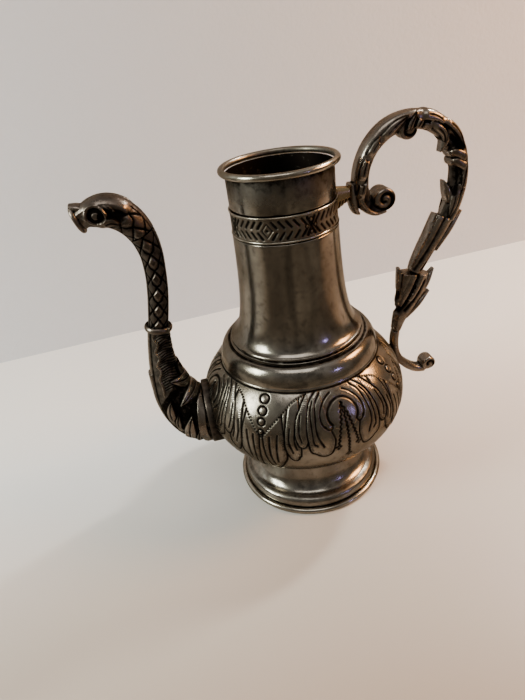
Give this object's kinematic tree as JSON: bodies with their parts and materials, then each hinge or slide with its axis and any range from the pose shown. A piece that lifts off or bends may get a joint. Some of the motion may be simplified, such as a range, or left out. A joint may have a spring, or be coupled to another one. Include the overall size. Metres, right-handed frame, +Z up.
{
  "type": "coffee pot",
  "caption": "Footed metal coffee pot with a chased round bowl, tall open neck, bird-headed curved spout and leaf-scroll handle.",
  "frame": {"origin": "centre of the foot on the surface it stands on", "axes": "+Z up; the spout points along -X and the handle along +X"},
  "size_m": [0.2023, 0.1216, 0.2142],
  "materials": {
    "polished_plate": "polished silver plate on brass, lightly tarnished",
    "chased_plate": "chased silver plate on brass, dark in the cuts",
    "band_plate": "stamped silver plate on brass, blackened in the recesses",
    "wire_plate": "drawn wire, silver-plated",
    "cast_plate": "cast and chased, silver-plated, blackened in the recesses"
  },
  "bodies": {
    "root": {"foot_edge_wire": "wire_plate", "foot_flare": "polished_plate", "bowl": "chased_plate", "shoulder_collar": "polished_plate", "neck": "polished_plate", "ornament_band": "band_plate", "band_lower_wire": "wire_plate", "band_upper_wire": "wire_plate", "mouth_wire": "wire_plate", "spout_flange": "cast_plate", "spout_elbow_left": "cast_plate", "spout_elbow_right": "cast_plate", "spout_knop_ring": "cast_plate", "spout_neck_left": "cast_plate", "spout_neck_right": "cast_plate", "spout_head_left": "cast_plate", "spout_head_right": "cast_plate", "handle_bracket": "cast_plate", "handle_upper_scroll": "cast_plate", "handle_middle_leaf": "cast_plate", "handle_leaf_cup": "cast_plate", "handle_lower_scroll": "cast_plate"}
  },
  "joints": []
}
